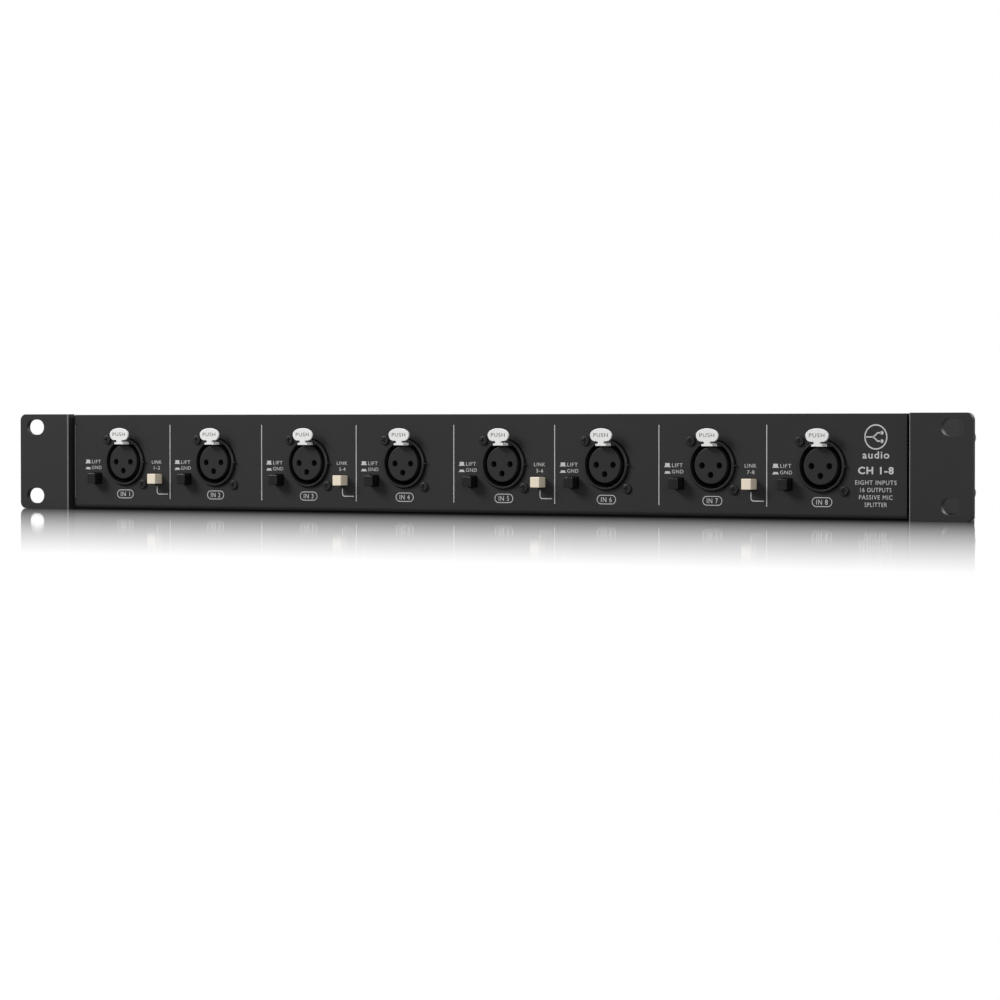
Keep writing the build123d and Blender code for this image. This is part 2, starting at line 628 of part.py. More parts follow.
with BuildPart() as board_headers:
    for header_front in (FRONT_BOARD_Y + BOARD_SHEET, REAR_BOARD_Y - HEADER_DEPTH):
        with BuildSketch(facing(header_front)):
            with Locations(*[(x, 0) for x in RIBBON_X]):
                Rectangle(HEADER_WIDTH, HEADER_HEIGHT)
        extrude(amount=-HEADER_DEPTH)
board_headers.part.label = "board_headers"
export_step(board_headers.part, "parts/board_headers.step")

ribbon_start = FRONT_BOARD_Y + BOARD_SHEET + HEADER_DEPTH
ribbon_end = REAR_BOARD_Y - HEADER_DEPTH
ribbon_middle = (ribbon_start + ribbon_end) / 2
with BuildPart() as ribbon_cables:
    for x in RIBBON_X:
        with BuildSketch(Plane.YZ.offset(x - RIBBON_WIDTH / 2)):
            with BuildLine():
                ThreePointArc(
                    (ribbon_start, RIBBON_SHEET / 2),
                    (ribbon_middle, RIBBON_SHEET / 2 + RIBBON_RISE),
                    (ribbon_end, RIBBON_SHEET / 2),
                )
                Line((ribbon_end, RIBBON_SHEET / 2), (ribbon_end, -RIBBON_SHEET / 2))
                ThreePointArc(
                    (ribbon_end, -RIBBON_SHEET / 2),
                    (ribbon_middle, RIBBON_RISE - RIBBON_SHEET / 2),
                    (ribbon_start, -RIBBON_SHEET / 2),
                )
                Line((ribbon_start, -RIBBON_SHEET / 2), (ribbon_start, RIBBON_SHEET / 2))
            make_face()
        extrude(amount=RIBBON_WIDTH)
ribbon_cables.part.label = "ribbon_cables"
export_step(ribbon_cables.part, "parts/ribbon_cables.step")

# ---- output connectors: male shells through the rear panel ----
with BuildPart() as output_shell:
    with BuildSketch(facing(OUTPUT_FACE)):
        Circle(OUTPUT_RADIUS)
    extrude(amount=OUTPUT_FACE - REAR_BOARD_Y - BOARD_SHEET)
    fillet(output_shell.edges().group_by(Axis.Y)[-1], OUTPUT_EDGE)
    with BuildSketch(facing(CASE_DEPTH - SHEET)):
        RectangleRounded(OUTPUT_FLANGE[0], OUTPUT_FLANGE[1], FLANGE_CORNER)
    extrude(amount=OUTPUT_FLANGE[2])
    with BuildSketch(facing(OUTPUT_FACE)):
        Circle(OUTPUT_CAVITY_RADIUS)
    extrude(amount=OUTPUT_FACE - REAR_BOARD_Y - BOARD_SHEET, mode=Mode.SUBTRACT)
    with BuildSketch(facing(OUTPUT_FACE)):
        with Locations((0, OUTPUT_CAVITY_RADIUS)):
            Rectangle(*OUTPUT_KEY)
    extrude(amount=OUTPUT_FACE - OUTPUT_FLOOR, mode=Mode.SUBTRACT)
    with BuildSketch(facing(CASE_DEPTH - SHEET)):
        with Locations(*diagonal_pair(OUTPUT_SCREW_OFFSET)):
            Circle(SMALL_SHANK_RADIUS + FIT_GAP)
    extrude(amount=OUTPUT_FLANGE[2], mode=Mode.SUBTRACT)

with BuildPart() as direct_outputs:
    with Locations(*[(x, 0, 0) for x in DIRECT_X]):
        add(output_shell.part)
direct_outputs.part.label = "direct_outputs"
export_step(direct_outputs.part, "parts/direct_outputs.step")

with BuildPart() as split_outputs:
    with Locations(*[(x, 0, 0) for x in SPLIT_X]):
        add(output_shell.part)
split_outputs.part.label = "split_outputs"
export_step(split_outputs.part, "parts/split_outputs.step")

# ---- pin carriers of the output connectors ----
with BuildPart() as pin_carrier:
    with BuildSketch(facing(REAR_BOARD_Y + BOARD_SHEET)):
        Circle(OUTPUT_CAVITY_RADIUS - FIT_GAP)
        with Locations(*CONTACT_SPOTS):
            Circle(PIN_RADIUS + FIT_GAP, mode=Mode.SUBTRACT)
    extrude(amount=-(OUTPUT_FLOOR - REAR_BOARD_Y - BOARD_SHEET))

with BuildPart() as output_inserts:
    with Locations(*[(x, 0, 0) for x in OUTPUT_X]):
        add(pin_carrier.part)
output_inserts.part.label = "output_inserts"
export_step(output_inserts.part, "parts/output_inserts.step")

# ---- pins of the output connectors ----
with BuildPart() as contact_pin:
    with BuildSketch(facing(PIN_TIP_Y)):
        Circle(PIN_RADIUS)
    extrude(amount=PIN_TIP_Y - REAR_BOARD_Y - BOARD_SHEET)
    fillet(contact_pin.edges().group_by(Axis.Y)[-1], PIN_NOSE)
    with BuildSketch(facing(REAR_BOARD_Y + BOARD_SHEET)):
        Circle(TAIL_RADIUS)
    extrude(amount=BOARD_SHEET + LEAD_STUB)

with BuildPart() as output_pins:
    with Locations(*[(x + dx, 0, dz) for x in OUTPUT_X for dx, dz in CONTACT_SPOTS]):
        add(contact_pin.part)
output_pins.part.label = "output_pins"
export_step(output_pins.part, "parts/output_pins.step")

# ---- cross-recess screws: head forwards at the origin, shank along +Y ----
with BuildPart() as small_screw:
    with BuildSketch(facing(0)):
        Circle(SMALL_HEAD[0])
    extrude(amount=SMALL_HEAD[1])
    fillet(small_screw.edges().group_by(Axis.Y)[0], SMALL_HEAD_FILLET)
    with BuildSketch(facing(0)):
        Circle(SMALL_SHANK_RADIUS)
    extrude(amount=-SMALL_SHANK_LENGTH)
    with BuildSketch(facing(-SMALL_HEAD[1])):
        Rectangle(SMALL_CROSS[0], SMALL_CROSS[1])
        Rectangle(SMALL_CROSS[1], SMALL_CROSS[0])
    extrude(amount=-SMALL_CROSS[2], mode=Mode.SUBTRACT)

with BuildPart() as socket_screws:
    with Locations(*in_panel_plane(SOCKET_SCREW_SPOTS)):
        add(small_screw.part)
socket_screws.part.label = "socket_screws"
export_step(socket_screws.part, "parts/socket_screws.step")

rear_small_screw = small_screw.part.rotate(Axis.Z, 180)
with BuildPart() as output_screws:
    with Locations(*[(x, CASE_DEPTH, z) for x, z in OUTPUT_SCREW_SPOTS]):
        add(rear_small_screw)
output_screws.part.label = "output_screws"
export_step(output_screws.part, "parts/output_screws.step")

# ---- side screws: larger pan heads, used for the ears and for the cover's sides ----
with BuildPart() as side_screw:
    with BuildSketch(facing(0)):
        Circle(SIDE_HEAD[0])
    extrude(amount=SIDE_HEAD[1])
    fillet(side_screw.edges().group_by(Axis.Y)[0], SIDE_HEAD_FILLET)
    with BuildSketch(facing(0)):
        Circle(SIDE_SHANK_RADIUS)
    extrude(amount=-SIDE_SHANK_LENGTH)
    with BuildSketch(facing(-SIDE_HEAD[1])):
        Rectangle(SIDE_CROSS[0], SIDE_CROSS[1])
        Rectangle(SIDE_CROSS[1], SIDE_CROSS[0])
    extrude(amount=-SIDE_CROSS[2], mode=Mode.SUBTRACT)

right_side_screw = side_screw.part.rotate(Axis.Z, 90)
left_side_screw = side_screw.part.rotate(Axis.Z, -90)

with BuildPart() as ear_screws:
    ear_face = HALF_CASE + EAR_SHEET
    with Locations(*[(ear_face, y, z) for y, z in EAR_SCREW_PLACES]):
        add(right_side_screw)
    with Locations(*[(-ear_face, y, z) for y, z in EAR_SCREW_PLACES]):
        add(left_side_screw)
ear_screws.part.label = "ear_screws"
export_step(ear_screws.part, "parts/ear_screws.step")

# ---- cover screws: two on each side near the rear, and countersunk ones in the lid ----
with BuildPart() as lid_screw:
    with BuildSketch(Plane.XY):
        Circle(LID_HEAD_RADIUS)
    with BuildSketch(Plane.XY.offset(-LID_HEAD_DEPTH)):
        Circle(SMALL_SHANK_RADIUS)
    loft()
    with BuildSketch(Plane.XY.offset(-LID_HEAD_DEPTH)):
        Circle(SMALL_SHANK_RADIUS)
    extrude(amount=-LID_SHANK_LENGTH)
    with BuildSketch(Plane.XY):
        Rectangle(SMALL_CROSS[0], SMALL_CROSS[1])
        Rectangle(SMALL_CROSS[1], SMALL_CROSS[0])
    extrude(amount=-SMALL_CROSS[2], mode=Mode.SUBTRACT)

with BuildPart() as cover_screws:
    with Locations(*[(HALF_CASE, y, z) for y, z in SIDE_SCREW_PLACES]):
        add(right_side_screw)
    with Locations(*[(-HALF_CASE, y, z) for y, z in SIDE_SCREW_PLACES]):
        add(left_side_screw)
    with Locations(*[(x, y, TOP_Z) for x in LID_SCREW_X for y in LID_SCREW_Y]):
        add(lid_screw.part)
cover_screws.part.label = "cover_screws"
export_step(cover_screws.part, "parts/cover_screws.step")
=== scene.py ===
"""Looks for the eight-channel rack microphone splitter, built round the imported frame.

Metres, in the frame's own axes: +X right along the panel, +Y into the case, +Z up.
"""
import json
import math

import bmesh
import bpy
from mathutils import Matrix, Vector


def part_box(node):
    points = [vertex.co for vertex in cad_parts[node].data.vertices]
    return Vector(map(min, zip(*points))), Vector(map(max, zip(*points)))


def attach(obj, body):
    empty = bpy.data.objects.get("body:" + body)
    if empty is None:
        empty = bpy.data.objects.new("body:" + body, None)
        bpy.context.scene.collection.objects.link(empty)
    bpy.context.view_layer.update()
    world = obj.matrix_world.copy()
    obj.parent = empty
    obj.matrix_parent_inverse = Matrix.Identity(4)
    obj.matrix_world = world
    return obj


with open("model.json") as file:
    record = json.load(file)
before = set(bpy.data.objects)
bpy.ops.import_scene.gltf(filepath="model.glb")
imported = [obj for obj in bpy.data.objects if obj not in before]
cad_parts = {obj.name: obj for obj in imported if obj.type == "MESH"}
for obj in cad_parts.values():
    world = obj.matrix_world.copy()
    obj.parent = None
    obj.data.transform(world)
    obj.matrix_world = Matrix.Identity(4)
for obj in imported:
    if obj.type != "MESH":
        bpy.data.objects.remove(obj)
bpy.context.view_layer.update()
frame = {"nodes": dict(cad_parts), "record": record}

NODES = frame["nodes"]
MM = 0.001
CHANNELS = range(1, 9)
BODY = "chassis"

ear_low, ear_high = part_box("right_rack_ear")
tray_low, tray_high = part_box("chassis_tray")
EAR_FRONT_Y = ear_low.y
FLOOR_Z = ear_low.z
PANEL_Y = tray_low.y
REAR_Y = tray_high.y


def channel_x(number):
    """Middle of a channel's input socket, left to right."""
    low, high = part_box(f"input_socket_{number}")
    return (low.x + high.x) / 2


CHANNEL_X = [channel_x(number) for number in CHANNELS]
PITCH = CHANNEL_X[1] - CHANNEL_X[0]


# ---------------------------------------------------------------- camera, floor and light
CAMERA_PLACE = Vector((0.8607, EAR_FRONT_Y - 1.3753, 0.01901))
CAMERA_YAW = math.radians(31.423)
CAMERA_PITCH = math.radians(-1.2217)
CAMERA_ROLL = math.radians(0.05)
CAMERA_LENS = 135.05

camera_data = bpy.data.cameras.new("camera")
camera_data.lens = CAMERA_LENS
camera_data.sensor_width = 36.0
camera_data.clip_start = 0.05
camera_data.clip_end = 60.0
camera = bpy.data.objects.new("camera", camera_data)
camera.location = CAMERA_PLACE
camera.rotation_euler = (math.pi / 2 + CAMERA_PITCH, CAMERA_ROLL, CAMERA_YAW)
bpy.context.scene.collection.objects.link(camera)
bpy.context.scene.camera = camera
bpy.context.scene.view_settings.view_transform = "Standard"


class Tree:
    """A node tree with short calls for adding nodes and linking them."""

    def __init__(self, owner):
        owner.use_nodes = True
        self.tree = owner.node_tree
        self.tree.nodes.clear()

    def add(self, kind, **settings):
        node = self.tree.nodes.new("ShaderNode" + kind)
        for key, value in settings.items():
            setattr(node, key, value)
        return node

    def link(self, source, target):
        self.tree.links.new(source, target)

    def feed(self, node, **sockets):
        """Sets or links a node's inputs by name; underscores stand for spaces."""
        for key, value in sockets.items():
            socket = node.inputs[key.replace("_", " ")]
            if isinstance(value, bpy.types.NodeSocket):
                self.link(value, socket)
            else:
                socket.default_value = value
        return node

    def math(self, operation, a, b=None, c=None, clamp=False):
        node = self.add("Math", operation=operation, use_clamp=clamp)
        for socket, value in zip(node.inputs, (a, b, c)):
            if isinstance(value, bpy.types.NodeSocket):
                self.link(value, socket)
            elif value is not None:
                socket.default_value = value
        return node.outputs[0]

    def mix(self, share, first, second):
        """A colour between two others; each may be a colour or a link."""
        node = self.add("Mix", data_type="RGBA")
        first_socket, second_socket = [socket for socket in node.inputs if socket.type == "RGBA"]
        for socket, value in ((node.inputs[0], share), (first_socket, first), (second_socket, second)):
            if isinstance(value, bpy.types.NodeSocket):
                self.link(value, socket)
            else:
                socket.default_value = value
        return [socket for socket in node.outputs if socket.type == "RGBA"][0]


MIRROR_REACH = 0.465
MIRROR_GRAIN = 0.0005
MIRROR_WAVE = 0.000003
MIRROR_SHARE = 1.0
FLOOR_BOUNCE = 0.22
FLOOR_SIZE = 24.0
FLOOR_GAP = 0.00002
SHADOW_INSET = 0.0008
SURROUND = 0.42
SHADOW_COLOUR = (0.008, 0.008, 0.008, 1)


def floor_material():
    """White to the eye, with a mirror image that fades out in front of the object, and dim to other rays."""
    material = bpy.data.materials.new("floor_white")
    tree = Tree(material)
    place = tree.add("TexCoord").outputs["Object"]
    split = tree.add("SeparateXYZ")
    tree.link(place, split.inputs[0])
    ahead = tree.math("MULTIPLY", split.outputs["Y"], -1.0 / MIRROR_REACH)
    away = tree.math("ABSOLUTE", ahead)
    fade = tree.math("SUBTRACT", 1.0, away, clamp=True)
    share = tree.math("MULTIPLY", fade, MIRROR_SHARE)
    white = tree.feed(tree.add("Emission"), Color=(1, 1, 1, 1), Strength=1.0)
    waves = tree.feed(tree.add("TexNoise"), Vector=place, Scale=1.0 / MIRROR_GRAIN, Detail=0.0)
    uneven = tree.feed(tree.add("Bump"), Strength=1.0, Distance=MIRROR_WAVE, Height=waves.outputs["Fac"])
    mirror = tree.feed(tree.add("BsdfGlossy"), Color=(1, 1, 1, 1), Roughness=0.0, Normal=uneven.outputs[0])
    seen = tree.feed(tree.add("MixShader"), Fac=share)
    tree.link(white.outputs[0], seen.inputs[1])
    tree.link(mirror.outputs[0], seen.inputs[2])
    dim = tree.feed(tree.add("BsdfDiffuse"), Color=(FLOOR_BOUNCE, FLOOR_BOUNCE, FLOOR_BOUNCE, 1))
    path = tree.add("LightPath")
    choice = tree.feed(tree.add("MixShader"), Fac=path.outputs["Is Camera Ray"])
    tree.link(dim.outputs[0], choice.inputs[1])
    tree.link(seen.outputs[0], choice.inputs[2])
    out = tree.add("OutputMaterial")
    tree.link(choice.outputs[0], out.inputs["Surface"])
    return material



floor_mesh = bpy.data.meshes.new("floor")
half = FLOOR_SIZE / 2
floor_mesh.from_pydata(
    [(-half, -half, 0), (half, -half, 0), (half, half, 0), (-half, half, 0)], [], [(0, 1, 2, 3)]
)
floor = bpy.data.objects.new("floor", floor_mesh)
floor.location = (0, 0, FLOOR_Z - FLOOR_GAP)
bpy.context.scene.collection.objects.link(floor)
floor_mesh.materials.append(floor_material())

# A dark slab fills the thin gap between the floor and the underside, as its shadow does
cover_low, cover_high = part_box("top_cover")
shadow_low = Vector((cover_low.x + FLOOR_GAP, tray_low.y + SHADOW_INSET, FLOOR_Z))
shadow_high = Vector((cover_high.x - FLOOR_GAP, tray_high.y - SHADOW_INSET, tray_low.z - FLOOR_GAP))
shadow_mesh = bpy.data.meshes.new("underside_shadow")
shadow_grid = bmesh.new()
bmesh.ops.create_cube(shadow_grid, size=1.0)
for vertex in shadow_grid.verts:
    vertex.co = [(low + high) / 2 + share * (high - low)
                 for low, high, share in zip(shadow_low, shadow_high, vertex.co)]
shadow_grid.to_mesh(shadow_mesh)
shadow_grid.free()
shadow = bpy.data.objects.new("underside_shadow", shadow_mesh)
bpy.context.scene.collection.objects.link(shadow)
shadow_material = bpy.data.materials.new("underside_shadow")
shadow_tree = Tree(shadow_material)
shadow_shader = shadow_tree.feed(shadow_tree.add("BsdfDiffuse"), Color=SHADOW_COLOUR)
shadow_tree.link(shadow_shader.outputs[0], shadow_tree.add("OutputMaterial").inputs["Surface"])
shadow_mesh.materials.append(shadow_material)

world = bpy.data.worlds.new("studio")
bpy.context.scene.world = world
sky = Tree(world)
path = sky.add("LightPath")
direct = sky.math("MAXIMUM", path.outputs["Is Camera Ray"], path.outputs["Is Singular Ray"])
brightness = sky.feed(sky.add("MapRange"), Value=direct, To_Min=SURROUND, To_Max=1.0)
background = sky.feed(sky.add("Background"), Color=(1, 1, 1, 1), Strength=brightness.outputs[0])
world_out = sky.add("OutputWorld")
sky.link(background.outputs[0], world_out.inputs["Surface"])


def area_light(name, place, target, size, power):
    """A soft rectangular light at a place, turned to face a target."""
    data = bpy.data.lights.new(name, "AREA")
    data.shape = "RECTANGLE"
    data.size, data.size_y = size
    data.energy = power
    light = bpy.data.objects.new(name, data)
    light.location = place
    light.rotation_euler = (Vector(target) - Vector(place)).to_track_quat("-Z", "Y").to_euler()
    bpy.context.scene.collection.objects.link(light)
    return light


area_light("key", (-1.5, -1.3, 1.3), (0, 0, 0), (0.9, 0.8), 38.0)
area_light("fill", (1.6, -1.5, 0.6), (0, 0, 0), (1.0, 1.0), 8.0)
area_light("top", (0.0, 0.3, 1.4), (0, 0, 0), (1.6, 0.5), 8.0)
area_light("rear", (0.8, 2.0, 1.0), (0, 0, 0), (1.4, 0.8), 16.0)


# ---------------------------------------------------------------- materials
def shade(colour, factor):
    """A colour made lighter or darker, with its alpha kept at one."""
    return (*[min(1.0, c * factor) for c in colour], 1.0)


def finish(name, colour, roughness, *, metallic=0.0, specular=0.5, coat=0.0, grain=0.3,
           bump=0.00001, mottle=0.06, patch=12.0, edge=0.08, painted_edge_highlight=0.0, streak=(1, 1, 1),
           zone=None, painted_light_colour=None):
    """A moulded, painted or plated finish.

    grain is the size of its fine bumps and patch that of its faint colour changes, in millimetres;
    edge is how far its corners look rounded, and the edge highlight how much paler its corners are painted: a
    painted highlight, partly standing for paint worn thin at the edges.
    streak stretches the fine texture, as brushing or rolling does.
    zone gives the share, from a tree and a place, of another colour in part of the surface; it paints
    highlights and shade onto that part.
    """
    material = bpy.data.materials.new(name)
    tree = Tree(material)
    place = tree.add("TexCoord").outputs["Object"]
    drawn = tree.feed(tree.add("Mapping"), Vector=place)
    drawn.inputs["Scale"].default_value = streak
    fine = tree.feed(tree.add("TexNoise"), Vector=drawn.outputs[0], Scale=1.0 / (grain * MM), Detail=3.0)
    broad = tree.feed(tree.add("TexNoise"), Vector=place, Scale=1.0 / (patch * MM), Detail=4.0)
    tone = tree.add("ValToRGB")
    tone.color_ramp.elements[0].position = 0.3
    tone.color_ramp.elements[0].color = shade(colour, 1 - mottle)
    tone.color_ramp.elements[1].position = 0.7
    tone.color_ramp.elements[1].color = shade(colour, 1 + mottle)
    broad_share = tree.math("MULTIPLY", broad.outputs["Fac"], 0.6)
    blend = tree.math("MULTIPLY_ADD", fine.outputs["Fac"], 0.4, broad_share)
    tree.link(blend, tone.inputs["Fac"])
    colour_out = tone.outputs["Color"]
    rounded = tree.feed(tree.add("Bevel", samples=4), Radius=edge * MM)
    # Painted highlight: corners, found from the bevelled normal, are painted up to four times paler, partly
    # standing for paint worn thin at the edges.
    if painted_edge_highlight:
        surface = tree.add("NewGeometry")
        facing = tree.add("VectorMath", operation="DOT_PRODUCT")
        tree.link(rounded.outputs[0], facing.inputs[0])
        tree.link(surface.outputs["Normal"], facing.inputs[1])
        corner = tree.feed(tree.add("MapRange"), Value=facing.outputs["Value"],
                           From_Min=0.995, From_Max=0.8, To_Min=0.0, To_Max=painted_edge_highlight)
        colour_out = tree.mix(corner.outputs[0], colour_out, shade(colour, 4.0))
    # Painted light: part of the surface is painted in another colour, a highlight on the ears' bends and
    # shade on the latches' plates.
    if zone:
        colour_out = tree.mix(zone(tree, place), colour_out, (*painted_light_colour, 1.0))
    rough = tree.feed(tree.add("MapRange"), Value=fine.outputs["Fac"],
                      To_Min=roughness - 0.06, To_Max=roughness + 0.06)
    relief = tree.feed(tree.add("Bump"), Strength=1.0, Distance=bump, Height=fine.outputs["Fac"],
                       Normal=rounded.outputs[0])
    shader = tree.feed(tree.add("BsdfPrincipled"), Roughness=rough.outputs[0], Normal=relief.outputs[0],
                       Metallic=metallic)
    shader.inputs["Specular IOR Level"].default_value = specular
    shader.inputs["Coat Weight"].default_value = coat
    tree.link(colour_out, shader.inputs["Base Color"])
    out = tree.add("OutputMaterial")
    tree.link(shader.outputs[0], out.inputs["Surface"])
    return material


def hook_shade_zone(tree, place):
    """The latch's wide plate inside the socket, behind the panel's face and beside the arm, painted near
    black as painted shade.
    """
    split = tree.add("SeparateXYZ")
    tree.link(place, split.inputs[0])
    from_first = tree.math("SUBTRACT", split.outputs["X"], CHANNEL_X[0])
    from_socket = tree.math("WRAP", from_first, PITCH / 2, -PITCH / 2)
    beside = tree.math("GREATER_THAN", tree.math("ABSOLUTE", from_socket), HOOK_ARM)
    behind = tree.math("GREATER_THAN", split.outputs["Y"], HOOK_FRONT)
    return tree.math("MULTIPLY", beside, behind)


def ear_bend_highlight_zone(tree, place):
    """The front edge of an ear's bend, painted pale as a painted highlight."""
    split = tree.add("SeparateXYZ")
    tree.link(place, split.inputs[0])
    inner = tree.math("LESS_THAN", tree.math("ABSOLUTE", split.outputs["X"]), ear_low.x + BEND_HIGHLIGHT_WIDTH)
    ahead = tree.math("LESS_THAN", split.outputs["Y"], ear_low.y + BEND_HIGHLIGHT_WIDTH)
    return tree.math("MULTIPLY", inner, ahead)


HOOK_ARM = 2.7 * MM
HOOK_FRONT = -1.3 * MM
BEND_HIGHLIGHT_WIDTH = 0.45 * MM
PAINT = (0.0252, 0.0252, 0.0258)
# Painted highlight colour for the front edge of the ears' bends.
BEND_HIGHLIGHT_COLOUR = (0.28, 0.28, 0.28)
FINISHES = {
    # The panel's and the ears' corners are painted paler: a painted highlight, partly standing for worn
    # paint.
    "panel_paint": finish("panel_paint", PAINT, 0.55, specular=0.25, grain=0.25, bump=0.000008, edge=0.25,
                          painted_edge_highlight=0.25),
    # The ears' bends carry a strip of painted highlight.
    "ear_paint": finish("ear_paint", PAINT, 0.5, specular=0.3, grain=0.25, bump=0.000008, edge=0.2,
                        painted_edge_highlight=0.1,
                        zone=ear_bend_highlight_zone, painted_light_colour=BEND_HIGHLIGHT_COLOUR),
    "socket_plastic": finish("socket_plastic", (0.018, 0.018, 0.019), 0.38, specular=0.45, grain=0.12,
                             bump=0.000003, edge=0.12),
    "insert_plastic": finish("insert_plastic", (0.019, 0.019, 0.02), 0.5, specular=0.3, grain=0.1,
                             bump=0.000004, edge=0.1),
    "contact_metal": finish("contact_metal", (0.2, 0.19, 0.17), 0.35, metallic=1.0, grain=0.2, bump=0.000002,
                            streak=(1, 0.1, 1)),
    # The latch's plate inside the socket is painted near black: painted shade on the white metal.
    "latch_metal": finish("latch_metal", (0.95, 0.95, 0.94), 0.35, specular=0.5, grain=0.2, bump=0.000003,
                          mottle=0.02,
                          zone=hook_shade_zone, painted_light_colour=(0.02, 0.02, 0.02)),
    "spring_steel": finish("spring_steel", (0.5, 0.5, 0.5), 0.3, metallic=1.0, grain=0.1, streak=(1, 0.1, 1)),
    "black_button": finish("black_button", (0.005, 0.005, 0.006), 0.3, specular=0.5, grain=0.15,
                           bump=0.000002, edge=0.15),
    "ivory_button": finish("ivory_button", (0.96, 0.85, 0.68), 0.35, specular=0.5, grain=0.15, bump=0.000002,
                           mottle=0.02),
    "switch_plastic": finish("switch_plastic", (0.03, 0.03, 0.03), 0.45, grain=0.15),
    "circuit_board": finish("circuit_board", (0.02, 0.14, 0.05), 0.35, coat=0.3, grain=0.6, patch=4.0,
                            mottle=0.3),
    "zinc_steel": finish("zinc_steel", (0.6, 0.6, 0.58), 0.32, metallic=1.0, grain=0.15, bump=0.000003),
    "pad_fibre": finish("pad_fibre", (0.35, 0.26, 0.14), 0.8, grain=0.3, bump=0.00003, mottle=0.2),
    "core_steel": finish("core_steel", (0.2, 0.2, 0.21), 0.4, metallic=0.9, grain=0.35, bump=0.00004,
                         streak=(0.02, 0.02, 1)),
    "bobbin_plastic": finish("bobbin_plastic", (0.6, 0.58, 0.5), 0.5, grain=0.2),
    "coil_wire": finish("coil_wire", (0.45, 0.14, 0.04), 0.28, metallic=0.8, grain=0.2, bump=0.00004,
                        streak=(0.02, 1, 0.02)),
    "ribbon_sleeve": finish("ribbon_sleeve", (0.35, 0.36, 0.38), 0.6, grain=1.2, bump=0.0001,
                            streak=(1, 0.01, 0.01)),
    "output_plastic": finish("output_plastic", (0.018, 0.018, 0.019), 0.4, specular=0.45, grain=0.12,
                             bump=0.000003, edge=0.12),
    "black_screw": finish("black_screw", (0.006, 0.006, 0.006), 0.4, specular=0.5, grain=0.1, bump=0.000004,
                          edge=0.1),
}

for subpart in frame["record"]["subparts"]:
    node = NODES[subpart["node"]]
    node.data.materials.clear()
    node.data.materials.append(FINISHES[subpart["material_slot"]])

INK_TEXTURE = {"specular": 0.2, "grain": 0.1, "bump": 0.000002, "mottle": 0.05, "edge": 0.01}
INK_WHITE = finish("ink_white", (0.62, 0.62, 0.61), 0.6, **INK_TEXTURE)
INK_GREY = finish("ink_grey", (0.15, 0.15, 0.15), 0.6, **INK_TEXTURE)


# ---------------------------------------------------------------- panel printing
INK = 0.03 * MM


